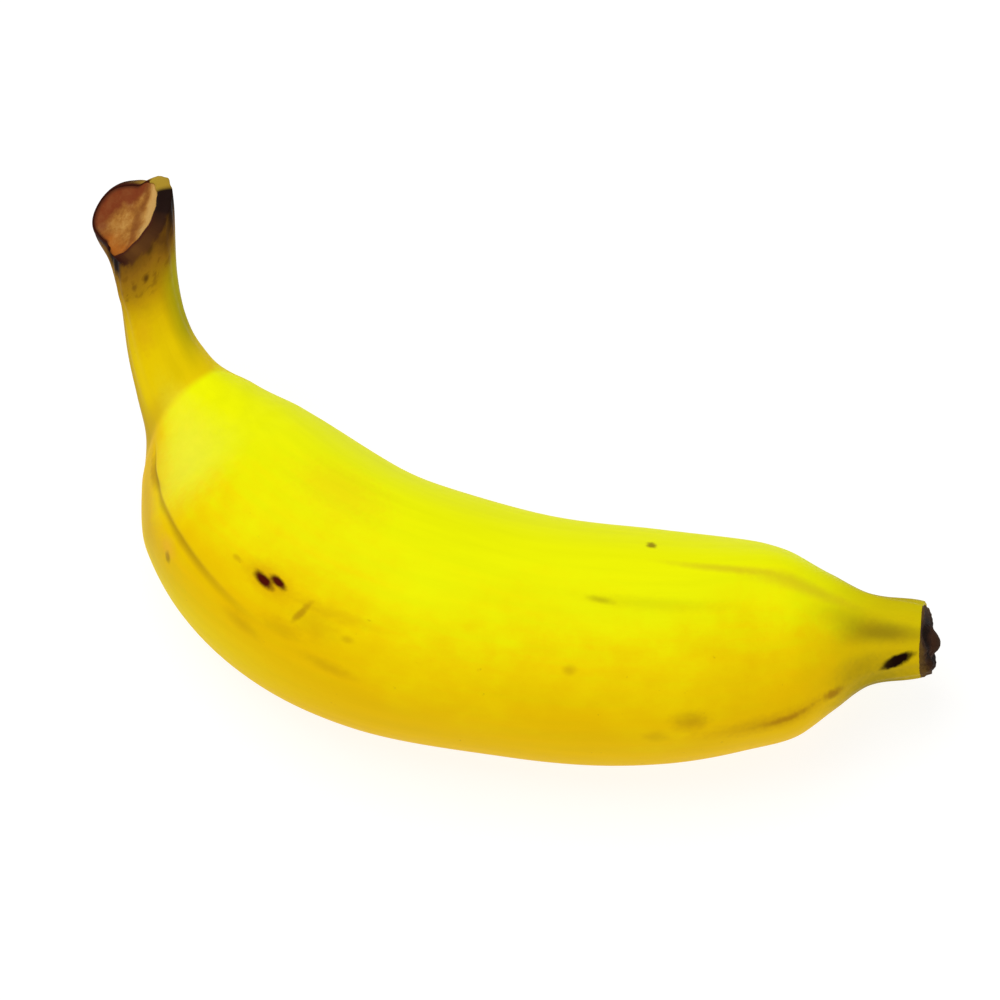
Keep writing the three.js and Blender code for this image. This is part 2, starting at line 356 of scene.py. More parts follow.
def closed_piece(name, rings, maps=None, rows=None):
    """Mesh object from rings in millimetres, with faces pointing outwards. maps names UV layers, each
    with a value for every ring and for every column and one more column to close the turn, and rows
    names values held at the points, as whole arrays of the rings' shape."""
    count, around = rings.shape[:2]
    points = with_middles(rings) * MM
    first_pole, last_pole = count * around, count * around + 1
    k, i = np.meshgrid(np.arange(count - 1), np.arange(around), indexing="ij")
    k, i, j = k.ravel(), i.ravel(), (i.ravel() + 1) % around
    quads = np.stack([k * around + i, k * around + j, (k + 1) * around + j, (k + 1) * around + i], 1)
    i = np.arange(around)
    j, last = (i + 1) % around, (count - 1) * around
    fans = np.vstack([np.stack([j, i, np.full(around, first_pole)], 1),
                      np.stack([last + i, last + j, np.full(around, last_pole)], 1)])
    mesh = bpy.data.meshes.new(name)
    mesh.from_pydata(points.tolist(), [], quads.tolist() + fans.tolist())
    # ring and column of each corner, first of the quads and then of the two fans
    corner_rings = np.append(np.stack([k, k, k + 1, k + 1], 1), np.repeat([0, count - 1], around * 3))
    corner_columns = np.append(np.tile(np.stack([i, i + 1, i + 1, i], 1), (count - 1, 1)),
                               [np.stack([i + 1, i, i], 1), np.stack([i, i + 1, i], 1)])
    for layer, (by_ring, by_column) in (maps or {}).items():
        values = np.stack([by_ring[corner_rings], by_column[corner_rings, corner_columns]], 1)
        mesh.uv_layers.new(name=layer).data.foreach_set("uv", values.astype(np.float32).ravel())
    for attribute, values in (rows or {}).items():
        held = mesh.attributes.new(attribute, "FLOAT_VECTOR", "POINT").data
        held.foreach_set("vector", with_middles(values).astype(np.float32).ravel())
    mesh.shade_smooth()
    mesh.update()
    corners = points[np.vstack([quads[:, :3], quads[:, [0, 2, 3]], fans])]
    volume = np.einsum("ij,ij->i", corners[:, 0], np.cross(corners[:, 1], corners[:, 2])).sum() / 6
    print(f"{name}: {len(points)} points, {2 * len(quads) + len(fans)} triangles, {volume * 1e6:.2f} cm3")
    return add_object(name, mesh)


# %% Peel
END_STEP = 0.3


def with_ends(cut_end, body, tip_end):
    """Stacks the rings of the cut end, reversed, the body and the tip end."""
    return np.concatenate([cut_end[::-1], body, tip_end])


def held_at_ends(rows):
    """Rows of the body, with the first and the last one repeated for the rings of the two ends."""
    return with_ends(np.repeat(rows[:1], len(cut_lip), 0), rows, np.repeat(rows[-1:], len(tip_rim), 0))


peel_rings = with_ends(cut_lip, skin, tip_rim)
before_cut = -END_STEP * np.arange(1, len(cut_lip) + 1)
after_tip = LENGTH + END_STEP * np.arange(1, len(tip_rim) + 1)
peel_along = with_ends(before_cut, ring_places, after_tip)
peel_angles = held_at_ends(skin_angles)
peel_degrees = np.degrees(np.hstack([peel_angles, peel_angles[:, :1] + 2 * np.pi]))
sheet_along = (peel_along - peel_along[0]) / np.ptp(peel_along)
sheet_around = np.repeat(np.linspace(0, 1, skin.shape[1] + 1)[None], len(peel_rings), 0)
skin_along = np.repeat(ring_places[:, None], skin.shape[1], 1)
straight = held_at_ends(np.stack([skin_along, skin_side, skin_up], 2))
peel = closed_piece("banana_peel", peel_rings,
                    maps={"along_around": (peel_along, peel_degrees), "OFBake": (sheet_along, sheet_around)},
                    rows={"straight": straight})

# %% [markdown]
# ## The cut face
# Where the stem was cut, its spongy inside has dried to a tan, slightly dished face full of fibres.
# A decal could only colour it. A shallow plug with its own small bumps catches the light and has a
# finish of its own, and it sits inside the lip of the peel. Each of its points keeps its place on
# the face, for the finish.

# %% Dished plug with dried fibres
PLUG_PROFILE = [(0.8, -0.7), (0.805, 0), (0.8, 0.4), (0.787, 0.55), (0.765, 0.52), (0.73, 0.42),
                (0.68, 0.3), (0.61, 0.2), (0.53, 0.12), (0.45, 0.06), (0.36, 0.02), (0.27, 0),
                (0.18, 0.02), (0.09, 0.03)]
FIBRE_BUMP = 0.16
BUMP_TURNS, BUMP_TOTAL = (3, 4, 5, 7, 9, 13, 18, 24), 2.5


def fibre_heights(profile, around, height, seed, outer=2):
    """Heights of a profile with seeded bumps: cosines round the ring, each with its own strength at
    every ring. They fade towards the middle, by an outer share, and under the surface."""
    draw = np.random.default_rng(seed)
    angles = np.linspace(0, 2 * np.pi, around, endpoint=False)
    shares, heights = np.array(profile).T
    bumps = sum(draw.uniform(-1, 1, (len(shares), 1)) * np.cos(turns * angles + draw.uniform(0, 6.3))
                for turns in BUMP_TURNS) / BUMP_TOTAL
    shown = shares / shares.max() * (1 - rise(outer - 0.1, outer, shares)) * (heights > -0.1)
    return heights[:, None] + height * bumps * shown[:, None]


def places_on_end(shares, angles):
    """Place of each point on an end face: its share times the cosine and the sine of its angle."""
    directions = np.stack([np.cos(angles), np.sin(angles), np.zeros(len(angles))], 1)
    return np.reshape(shares, (-1, 1, 1)) * directions


plug_shares = np.array([share for share, _ in PLUG_PROFILE])
plug_heights = fibre_heights(PLUG_PROFILE, skin.shape[1], FIBRE_BUMP, seed=3, outer=0.78)
plug_reach = reaching_shares(plug_shares, skin_angles[0])
plug_rings = shrinking_rings(skin[0], cut_outward, plug_reach, plug_heights, **cut_slide)
face_place = places_on_end(plug_shares, skin_angles[0])
stem_cut = closed_piece("stem_cut_face", plug_rings[::-1], rows={"face_place": face_place[::-1]})

# %% [markdown]
# ## The dried blossom
# The flower withered at the tip and left a dark, ragged rim that rises to a hard nub in the middle.
# The rim is highest where the five ridges end and worn down on its upper side. It is made like the
# cut face, with coarser bumps.

# %% Ragged rim and nub
BLOSSOM_PROFILE = [(0.9, -0.4), (0.975, 0), (0.985, 0.25), (0.97, 0.5), (0.93, 0.75), (0.88, 0.98),
                   (0.82, 1.15), (0.74, 1.3), (0.66, 1.34), (0.58, 1.36), (0.5, 1.45), (0.42, 1.62),
                   (0.36, 1.82), (0.31, 2.05), (0.26, 2.35), (0.2, 2.68), (0.13, 2.95), (0.06, 3.12)]
RIM = dict(lobes=5, height=0.22, slant=0.62, lowest=0.2, inner=0.42, outer=0.6)
BLOSSOM_BUMP = 0.26

blossom_shares = np.array([share for share, _ in BLOSSOM_PROFILE])[:, None]
blossom_heights = fibre_heights(BLOSSOM_PROFILE, skin.shape[1], BLOSSOM_BUMP, seed=8)
turn = np.arange(skin.shape[1]) / skin.shape[1]
on_rim = rise(RIM["inner"], RIM["outer"], blossom_shares) * (blossom_heights > 0)
worn = RIM["slant"] * np.cos(2 * np.pi * (turn - RIM["lowest"]))
ragged = RIM["height"] * np.cos(2 * np.pi * RIM["lobes"] * turn)
blossom_heights = blossom_heights * (1 - on_rim * worn) + on_rim * ragged
blossom_rings = shrinking_rings(skin[-1], tip_outward, blossom_shares, blossom_heights)
blossom_place = places_on_end(blossom_shares, skin_angles[-1])
blossom = closed_piece("blossom_end", blossom_rings, rows={"face_place": blossom_place})

# %% [markdown]
# ## Helpers for shader nodes
# A node tree can be drawn by hand in the editor. In a script it reads better with one helper that
# adds a node and links or sets its inputs by name, and a few named after what they work out.


# %% Node helpers
def add_node(tree, kind, inputs=None, **settings):
    """Adds a node. An input given as a socket is linked, and any other is set as a value."""
    node = tree.nodes.new(kind)
    for name, value in settings.items():
        setattr(node, name, value)
    for name, value in (inputs or {}).items():
        if isinstance(value, bpy.types.NodeSocket):
            tree.links.new(value, node.inputs[name])
        else:
            node.inputs[name].default_value = value
    return node


def calculate(tree, operation, *values, clamp=False):
    """One Math node: the operation applied to the values."""
    inputs = dict(enumerate(values))
    return add_node(tree, "ShaderNodeMath", inputs, operation=operation, use_clamp=clamp).outputs[0]


def minus(tree, first, second):
    """Difference of two values."""
    return calculate(tree, "SUBTRACT", first, second)


def times(tree, first, second):
    """Product of two values."""
    return calculate(tree, "MULTIPLY", first, second)


def times_plus(tree, first, second, added):
    """Product of two values, and a third added."""
    return calculate(tree, "MULTIPLY_ADD", first, second, added)


def smooth_step(tree, value, start, end):
    """0 at start, 1 at end and a smooth step between, as a Map Range node."""
    inputs = {"Value": value, "From Min": start, "From Max": end}
    return add_node(tree, "ShaderNodeMapRange", inputs, interpolation_type="SMOOTHSTEP").outputs["Result"]


def blend_colour(tree, amount, below, above, how="MIX"):
    """The colour above laid over the colour below by an amount from 0 to 1."""
    inputs = {0: amount, 6: below, 7: above}  # a Mix node's factor and its two colours
    return add_node(tree, "ShaderNodeMix", inputs, data_type="RGBA", blend_type=how).outputs[2]


def lay_over(tree, below, above, mask, strength):
    """The colour above laid over the colour below where the mask is, by a strength from 0 to 1."""
    return blend_colour(tree, times(tree, mask, strength), below, above)


def colour(*on_screen):
    """A colour given as it looks on screen, red, green and blue from 0 to 255, made linear."""
    shares = np.array(on_screen) / 255
    return (*np.where(shares <= 0.04045, shares / 12.92, ((shares + 0.055) / 1.055) ** 2.4), 1)


def colour_ramp(tree, value, stops):
    """Colour Ramp through stops of place and colour."""
    ramp = add_node(tree, "ShaderNodeValToRGB", {0: value})
    elements = ramp.color_ramp.elements
    while len(elements) < len(stops):
        elements.new(1)
    for element, (place, shade) in zip(elements, stops):
        element.position, element.color = place, shade
    return ramp.outputs[0]


def noise(tree, vector, scale, detail=2, roughness=0.5):
    """Noise from 0 to 1 on a vector, with scale as bumps to a unit."""
    inputs = {"Vector": vector, "Scale": scale, "Detail": detail, "Roughness": roughness}
    return add_node(tree, "ShaderNodeTexNoise", inputs).outputs[0]


def add_bump(tree, shader, height, strength, distance):
    """Bump from a height of 0 to 1 that stands for a distance in millimetres."""
    inputs = {"Height": height, "Strength": strength, "Distance": distance * MM}
    tree.links.new(add_node(tree, "ShaderNodeBump", inputs).outputs[0], shader.inputs["Normal"])


def new_material(name, roughness, specular):
    """Material with a Principled shader whose steady values are set on its own sockets."""
    material = bpy.data.materials.new(name)
    material.use_nodes = True
    shader = material.node_tree.nodes["Principled BSDF"]
    shader.inputs["Roughness"].default_value = roughness
    shader.inputs["Specular IOR Level"].default_value = specular
    return material, material.node_tree, shader


# %% [markdown]
# ## One shader group for all marks
# Bruises, scuffs, spots and soft patches are ovals on the peel, each with its place along and round
# it. A painted picture would need an image. A group that gives the mask of one soft, ragged oval can
# be placed as often as there are marks, and the marks stay where they are on the bent fruit.


# %% Group for an oval mark
def new_group(name, vector, values, outputs):
    """An empty group with a vector input, value inputs and value outputs, and its input sockets."""
    group = bpy.data.node_groups.new(name, "ShaderNodeTree")
    for socket in (vector, *values):
        kind = "NodeSocketVector" if socket == vector else "NodeSocketFloat"
        group.interface.new_socket(socket, in_out="INPUT", socket_type=kind)
    for socket in outputs:
        group.interface.new_socket(socket, in_out="OUTPUT", socket_type="NodeSocketFloat")
    return group, add_node(group, "NodeGroupInput").outputs


def make_mark_group():
    """Mask of an oval: distance along and round from its middle in millimetres, turned by its tilt,
    divided by its half length and half width, and cut off softly where their length passes 1."""
    values = ["Wobble", "Along", "Around", "Radius", "Half Length", "Half Width", "Tilt", "Softness",
              "Raggedness"]
    group, inputs = new_group("oval_mark", "Map", values, ["Mask"])
    parts = add_node(group, "ShaderNodeSeparateXYZ", {0: inputs["Map"]}).outputs
    along = minus(group, parts[0], inputs["Along"])
    turned = calculate(group, "RADIANS", minus(group, parts[1], inputs["Around"]))
    around = times(group, turned, inputs["Radius"])
    cosine, sine = calculate(group, "COSINE", inputs["Tilt"]), calculate(group, "SINE", inputs["Tilt"])
    lengthwise = times_plus(group, along, cosine, times(group, around, sine))
    crosswise = minus(group, times(group, around, cosine), times(group, along, sine))
    lengthwise = calculate(group, "DIVIDE", lengthwise, inputs["Half Length"])
    crosswise = calculate(group, "DIVIDE", crosswise, inputs["Half Width"])
    crosswise = calculate(group, "POWER", crosswise, 2)
    distance = calculate(group, "SQRT", times_plus(group, lengthwise, lengthwise, crosswise))
    distance = times_plus(group, inputs["Wobble"], inputs["Raggedness"], distance)
    outer, inner = calculate(group, "ADD", 1, inputs["Softness"]), minus(group, 1, inputs["Softness"])
    add_node(group, "NodeGroupOutput", {"Mask": smooth_step(group, distance, outer, inner)})
    return group


mark_group = make_mark_group()
print("mark group sockets:", [socket.name for socket in mark_group.interface.items_tree])

# %% [markdown]
# ## One shader group for fibres
# The peel is fibrous from stem to neck. Noise stretched along the fruit gives the fibres, and the
# vector it reads is the straightened fruit: distance along, and place in the section. The group puts
# out a coarse and a fine value.


# %% Group for lengthwise fibres
def make_fibre_group():
    """Two noises on a vector whose first part is squeezed, so that they run along it."""
    group, inputs = new_group("lengthwise_fibres", "Vector", ["Stretch", "Scale"], ["Coarse", "Fine"])
    squeeze = calculate(group, "DIVIDE", 1, inputs["Stretch"])
    factor = add_node(group, "ShaderNodeCombineXYZ", {0: squeeze, 1: 1, 2: 1}).outputs[0]
    vectors = {0: inputs["Vector"], 1: factor}
    squeezed = add_node(group, "ShaderNodeVectorMath", vectors, operation="MULTIPLY").outputs[0]
    coarse = noise(group, squeezed, inputs["Scale"], detail=3)
    fine = noise(group, squeezed, times(group, inputs["Scale"], 6), detail=2)
    add_node(group, "NodeGroupOutput", {"Coarse": coarse, "Fine": fine})
    return group


fibre_group = make_fibre_group()


def place_group(tree, group, inputs):
    """A group placed in a tree with its values."""
    return add_node(tree, "ShaderNodeGroup", inputs, node_tree=group).outputs


# %% [markdown]
# ## The ripe peel
# A ripe peel is lemon yellow on its upper side and deeper gold on its outer, lower side and towards both
# ends; that gold is partly the peel's own tone and partly painted shade of the sides turned from the light.
# The stem turns from yellow through ochre to dark brown at the cut, the neck is olive, and the skin
# hardly shines. The colours are mixed from place along and round the fruit, so that they follow its
# growth, and noise breaks every border.

# %% Colours of the peel
# Lemon on top to gold on the outer, lower side: partly the peel's own tone, partly painted shade.
PEEL_TONE_AND_SHADE = [(0, colour(243, 247, 4)), (0.3, colour(243, 234, 2)), (0.65, colour(241, 210, 1)),
                (1, colour(234, 190, 1))]
STEM_BY_DISTANCE = [(0, colour(96, 62, 18)), (2.5, colour(140, 98, 20)), (6, colour(164, 124, 14)),
                    (9, colour(190, 148, 10)), (12, colour(206, 168, 6)), (15, colour(222, 186, 3)),
                    (20, colour(232, 200, 3)), (30, colour(234, 204, 6))]
STEM_INNER_SIDE, STEM_OUTER_SIDE = colour(178, 166, 12), colour(170, 132, 24)
# The middle colour on the next line is painted shade, for the crease just before the fold.
STEM_BLOTCH, FOLD_SHADE, NECK = colour(112, 74, 12), colour(206, 168, 22), colour(200, 172, 8)
peel_material, tree, shader = new_material("ripe_peel", roughness=0.45, specular=0.015)
surface_map = add_node(tree, "ShaderNodeUVMap", uv_map="along_around").outputs[0]
straightened = add_node(tree, "ShaderNodeAttribute", attribute_name="straight").outputs["Vector"]
along, around = add_node(tree, "ShaderNodeSeparateXYZ", {0: surface_map}).outputs[:2]
fibre = place_group(tree, fibre_group, {"Vector": straightened, "Stretch": 14, "Scale": 0.5})
patches = noise(tree, straightened, 0.06, detail=3)
wobble = minus(tree, noise(tree, straightened, 1.1, detail=3), 0.5)


# %% Zones along the fruit and sides round it
# millimetres along where a zone has nothing, and where it is in full
ZONES = dict(tip_gold=(125, 156), stem_gold=(105, 65), past_shoulder=(38, 60),
             past_brown=(4, 12), inner_olive=(29, 19), blotches=(13, 4), neck=(150, 166),
             groove_start=(32, 37), groove_end=(76, 58))
# degrees round, and the cosines of the angle to there at which a side has nothing and is in full
SIDES = dict(inside_of_bend=(-20, 0.5, 0.95), stem_inner=(20, 0.55, 0.98), stem_outer=(225, 0.1, 0.9),
             unfolded=(110, 0.45, -0.3), lip_shade_band=(12, 0.8, 0.98), lip_shade_corner=(166, 0.84, 0.97))


def zone(tree, name):
    """Mask of a zone of the peel: a smooth step of the place along."""
    return smooth_step(tree, along, *ZONES[name])


def facing(tree, degrees):
    """Cosine of the angle between a place round the fruit and a side of it, 1 where they meet."""
    return calculate(tree, "COSINE", calculate(tree, "RADIANS", minus(tree, around, degrees)))


def side(tree, name):
    """Mask of a side of the peel: a smooth step of that cosine."""
    degrees, nothing, full = SIDES[name]
    return smooth_step(tree, facing(tree, degrees), nothing, full)


# %% Gold on the outer and lower side, partly painted shade
# The gold grows towards the outer, lower side and towards the ends, partly as painted shade of the sides
# turned from the light.
OUTER_SIDE, END_GOLD = 200, 0.2
tone_and_shade = facing(tree, OUTER_SIDE)
towards_tip = times(tree, zone(tree, "tip_gold"), END_GOLD)
towards_stem = times(tree, zone(tree, "stem_gold"), zone(tree, "past_shoulder"))
towards_stem = times(tree, towards_stem, END_GOLD)
tone_and_shade = calculate(tree, "ADD", tone_and_shade, calculate(tree, "ADD", towards_tip, towards_stem))
small_patches = noise(tree, straightened, 0.22, detail=4, roughness=0.6)
for field, strength in ((patches, 0.7), (small_patches, 0.55), (fibre["Coarse"], 0.4)):
    tone_and_shade = times_plus(tree, minus(tree, field, 0.5), strength, tone_and_shade)
gold = smooth_step(tree, tone_and_shade, -0.45, 0.95)
inside_gold = times_plus(tree, small_patches, 0.5, 0.3)
gold = calculate(tree, "MAXIMUM", gold, times(tree, side(tree, "inside_of_bend"), inside_gold))
peel_colour = colour_ramp(tree, gold, PEEL_TONE_AND_SHADE)

# %% Stem and its sides
STEM_RAMP = 30
ragged_along = times_plus(tree, wobble, 2, along)
inner_side, outer_side = side(tree, "stem_inner"), side(tree, "stem_outer")
ripe_along = times_plus(tree, inner_side, -3.5, ragged_along)
stem_stops = [(place / STEM_RAMP, shade) for place, shade in STEM_BY_DISTANCE]
stem_colour = colour_ramp(tree, calculate(tree, "DIVIDE", ripe_along, STEM_RAMP, clamp=True), stem_stops)
past_brown = zone(tree, "past_brown")
olive = times(tree, times(tree, inner_side, past_brown), zone(tree, "inner_olive"))
stem_colour = blend_colour(tree, olive, stem_colour, STEM_INNER_SIDE)
stem_colour = lay_over(tree, stem_colour, STEM_OUTER_SIDE, times(tree, outer_side, past_brown), 0.7)
blotches = smooth_step(tree, noise(tree, straightened, 0.55, detail=3, roughness=0.6), 0.5, 0.64)
blotches = times(tree, blotches, zone(tree, "blotches"))
stem_colour = lay_over(tree, stem_colour, STEM_BLOTCH, blotches, 0.55)

# %% Fold with its painted shade, and neck
# millimetres past the fold, and degrees round, where a colour has nothing and where it is in full
FOLD_SHADE_PAST, FOLD_SHADE_ROUND, STEM_ENDS = (-4.5, -0.8), (85, 135), (1.3, -0.5)
SOFTER, EARLIER = 4.5, 4  # where there is no fold, the border is softer and this much nearer the cut
turned = minus(tree, around, FOLD["middle"])
bow = calculate(tree, "ABSOLUTE", calculate(tree, "DIVIDE", turned, FOLD["spread"]))
fold_at = times_plus(tree, calculate(tree, "POWER", bow, 2), FOLD["bend"], FOLD["at"])
fold_at = calculate(tree, "MINIMUM", fold_at, FOLD["latest"])
past_fold = minus(tree, along, fold_at)
# A darker band on the stem just before the fold is painted shade, where the shoulder swells over the stem.
fold_shade = smooth_step(tree, past_fold, *FOLD_SHADE_PAST)
fold_shade = times(tree, fold_shade, smooth_step(tree, around, *FOLD_SHADE_ROUND))
stem_colour = lay_over(tree, stem_colour, FOLD_SHADE, fold_shade, 0.6)
unfolded = side(tree, "unfolded")
past_border = times_plus(tree, unfolded, EARLIER, past_fold)
past_border = calculate(tree, "DIVIDE", past_border, times_plus(tree, unfolded, SOFTER, 1))
peel_colour = blend_colour(tree, smooth_step(tree, past_border, *STEM_ENDS), peel_colour, stem_colour)
peel_colour = lay_over(tree, peel_colour, NECK, zone(tree, "neck"), 0.75)

# %% [markdown]
# ## Marks placed on the peel
# Each row is one mark or soft patch: where it sits along and round the fruit, its half length and
# half width in millimetres, its tilt, how strong it is and how soft its edge. Most are marks of the
# peel, but the pale patch on the shoulder is a painted highlight and the patch in the neck's valley is
# painted shade. A later row lies over an earlier one.

# %% The marks
DARK, BROWN, OLIVE = colour(76, 16, 6), colour(150, 88, 14), colour(140, 116, 16)
# The second colour on the next line is a painted highlight.
TAN, PAINTED_HIGHLIGHT = colour(196, 152, 34), colour(242, 242, 60)
WOBBLE_STRENGTH = 2
MARKS = [
    # along, around, half length, half width, tilt in degrees, strength, softness, raggedness, colour
    (71.4, 126.6, 2.6, 1.8, 10, 0.4, 0.9, 0.4, colour(186, 96, 8)),  # double spot with a brown halo
    (70.7, 127.6, 1.45, 0.78, 18, 1, 0.5, 0.3, DARK),
    (72.4, 125.2, 1.25, 0.66, 22, 1, 0.5, 0.3, DARK),
    (76.6, 131.5, 1.9, 0.4, 105, 0.5, 0.7, 0.5, BROWN),  # scuff beside it
    (80.5, 126.6, 4.2, 0.9, 0, 0.15, 0.9, 0.6, BROWN),
    (78.5, 134, 2.6, 2.2, 20, 0.16, 0.9, 0.6, BROWN),
    (66.5, 126.2, 0.6, 0.4, 0, 0.3, 0.7, 0.4, BROWN),
    (70.4, 149.7, 2.2, 1.1, 25, 0.25, 0.9, 0.5, BROWN),  # smudges below the groove's end
    (75, 141.8, 2, 1.3, 0, 0.2, 0.9, 0.5, BROWN),
    (82.8, 134.9, 0.7, 0.5, 0, 0.25, 0.8, 0.4, BROWN),
    (81.6, 149.9, 2.6, 1, 10, 0.22, 0.9, 0.5, BROWN),
    (56.3, 149, 1, 0.7, 60, 0.8, 0.6, 0.4, colour(128, 92, 20)),  # small spot on the outer strip
    (55.2, 145.5, 2, 1.5, 0, 0.4, 0.9, 0.4, colour(236, 170, 60)),
    (72.1, 79, 7, 4, 0, 0.38, 0.95, 0.5, colour(240, 200, 20)),  # golden patch on the top
    (125.4, 65, 0.85, 0.85, 10, 0.85, 0.6, 0.5, OLIVE),  # small dark spot near the inside
    (117.4, 97, 1.6, 0.5, 8, 0.4, 0.9, 0.3, OLIVE),  # streaks on the top
    (126, 98, 9, 1, 3, 0.16, 0.9, 0.4, OLIVE),
    (137, 81, 7.5, 0.6, 9, 0.4, 0.9, 0.25, TAN),  # long streak to the neck
    (150.5, 89, 7.5, 1.1, 9, 0.4, 0.95, 0.25, TAN),
    (113.5, 129.6, 0.8, 0.7, 0, 0.3, 0.9, 0.3, BROWN),
    (130.6, 154.4, 2, 1.6, 0, 0.4, 0.9, 0.5, BROWN),  # bruise low on the outer side
    (126.2, 163.5, 1.4, 1.1, 0, 0.2, 0.9, 0.5, BROWN),
    (144.5, 162, 9, 1.6, -4, 0.32, 0.9, 0.5, BROWN),  # rubbed edge near the tip
    (147, 161.4, 4.5, 0.6, -6, 0.5, 0.8, 0.5, BROWN),
    (156, 160.6, 1.6, 0.8, 12, 0.65, 0.7, 0.4, BROWN),
    (38.5, 145, 3.6, 0.8, -35, 0.55, 0.9, 0.4, colour(160, 104, 20)),  # wedge where the groove begins
    (163, 29, 6.5, 4.8, 0, 0.7, 0.95, 0.3, OLIVE),  # olive edges of the neck
    (163.5, 205, 6.5, 6.5, 0, 0.9, 0.95, 0.3, colour(136, 120, 24)),
    (167.2, 149.5, 2.8, 0.95, -24, 1, 0.35, 0.3, colour(24, 8, 4)),  # black oval on the neck
    (164.5, 116, 5.5, 1.5, 0, 0.7, 0.9, 0.15, colour(128, 108, 16)),  # painted shade in the valley of the neck
    (159, 104, 4.5, 1.4, 0, 0.25, 0.95, 0.2, OLIVE),
    (160.5, 150, 3.5, 1.5, 0, 0.25, 0.95, 0.2, OLIVE),
    (4.6, 91, 0.6, 0.42, 0, 0.75, 0.7, 0.5, colour(70, 42, 10)),  # dots on the stem
    (4.6, 111.5, 0.5, 0.4, 0, 0.5, 0.7, 0.5, colour(88, 56, 14)),
    (0.7, 81, 0.6, 0.5, 0, 0.6, 0.7, 0.5, colour(56, 34, 12)),
    (16, 118, 2.6, 1.5, 0, 0.3, 0.9, 0.8, colour(214, 160, 20)),  # orange patch on the stem
    (40, 112, 10, 5.5, 0, 0.7, 0.95, 0.3, PAINTED_HIGHLIGHT),  # painted highlight, a pale patch on the shoulder
    (47, 160, 12, 4.2, 0, 0.4, 0.8, 0.5, TAN),  # strip beyond the groove
    (60, 176, 14, 7, 0, 0.5, 0.95, 0.3, colour(240, 224, 14)),  # yellower patch below it
]
for s, degrees, half_length, half_width, tilt, strength, softness, raggedness, shade in MARKS:
    radius = np.interp(s, SECTIONS[:, 0], SECTIONS[:, 1])
    mask = place_group(tree, mark_group, {
        "Map": surface_map, "Wobble": wobble, "Along": s, "Around": degrees, "Radius": radius,
        "Half Length": half_length, "Half Width": half_width, "Tilt": math.radians(tilt),
        "Softness": softness, "Raggedness": raggedness * WOBBLE_STRENGTH})["Mask"]
    peel_colour = lay_over(tree, peel_colour, shade, mask, strength)
print(len(MARKS), "marks placed")

# %% [markdown]
# ## Groove, lip and fibres
# The groove holds a brown line, the stem is almost black right under the drawn-out lip, partly
# dried dark and partly painted shade, and faint fibres and a few brown flecks run over everything.
# Roughness and a little bump come from the same fibres.

# %% Groove line and lip colours
GROOVE_COLOUR = colour(158, 120, 16)
LIP_BY_SIDE = [(-45, colour(176, 146, 48)), (-14, colour(170, 138, 44)), (-2, colour(30, 18, 14)),
               (36, colour(34, 20, 16)), (58, colour(66, 38, 20)), (100, colour(96, 60, 26)),
               (128, colour(56, 26, 16)), (150, colour(32, 12, 10)), (180, colour(44, 20, 12)),
               (265, colour(66, 36, 18)), (285, colour(150, 116, 44)), (315, colour(176, 146, 48))]
# The first colour on the next line is the dried stem's near black, deepened as painted shade under the lip.
LIP_DARK_AND_SHADE, LIP_EDGE = colour(26, 15, 13), colour(66, 26, 18)
FIRST_SIDE, FULL_TURN = -45, 360.0
CURVE_ALONG, CURVE_ROUND = 100, 200  # what 1 stands for on the two axes of the curve
along_share = calculate(tree, "DIVIDE", along, CURVE_ALONG)
groove_curve = add_node(tree, "ShaderNodeFloatCurve", {"Value": along_share})
curve_points = groove_curve.mapping.curves[0].points
while len(curve_points) < len(GROOVE_LINE):
    curve_points.new(0.5, 0.5)
for point, (place, degrees) in zip(curve_points, GROOVE_LINE):
    point.location = (place / CURVE_ALONG, degrees / CURVE_ROUND)
groove_curve.mapping.update()
groove_at = times(tree, groove_curve.outputs[0], CURVE_ROUND)
off_groove = calculate(tree, "ABSOLUTE", minus(tree, around, groove_at))
groove_shown = times(tree, zone(tree, "groove_start"), zone(tree, "groove_end"))
in_groove = times(tree, smooth_step(tree, off_groove, 3.2, 0.3), groove_shown)
peel_colour = lay_over(tree, peel_colour, GROOVE_COLOUR, in_groove, 0.55)

# %% Dark band under the lip, partly painted shade, and the lip
# Under the lip and at its lower corner the stem is partly dried dark and partly painted shade.
dark_and_shade_under_lip = times(tree, smooth_step(tree, ragged_along, 5, 0.5), side(tree, "lip_shade_band"))
peel_colour = blend_colour(tree, dark_and_shade_under_lip, peel_colour, LIP_DARK_AND_SHADE)
dark_and_shade_at_corner = times(tree, side(tree, "lip_shade_corner"), smooth_step(tree, ragged_along, 4.2, 1.6))
peel_colour = blend_colour(tree, dark_and_shade_at_corner, peel_colour, LIP_DARK_AND_SHADE)
lip_stops = [((degrees - FIRST_SIDE) / FULL_TURN, shade) for degrees, shade in LIP_BY_SIDE]
turned = minus(tree, around, FIRST_SIDE)
ragged_turn = times_plus(tree, wobble, 16, turned)
lip_colour = colour_ramp(tree, calculate(tree, "DIVIDE", ragged_turn, FULL_TURN), lip_stops)
inner_edge = times(tree, smooth_step(tree, along, -1, -1.7), smooth_step(tree, around, 30, 60))
lip_colour = blend_colour(tree, inner_edge, lip_colour, LIP_EDGE)
peel_colour = blend_colour(tree, smooth_step(tree, ragged_along, 0.9, -0.2), peel_colour, lip_colour)

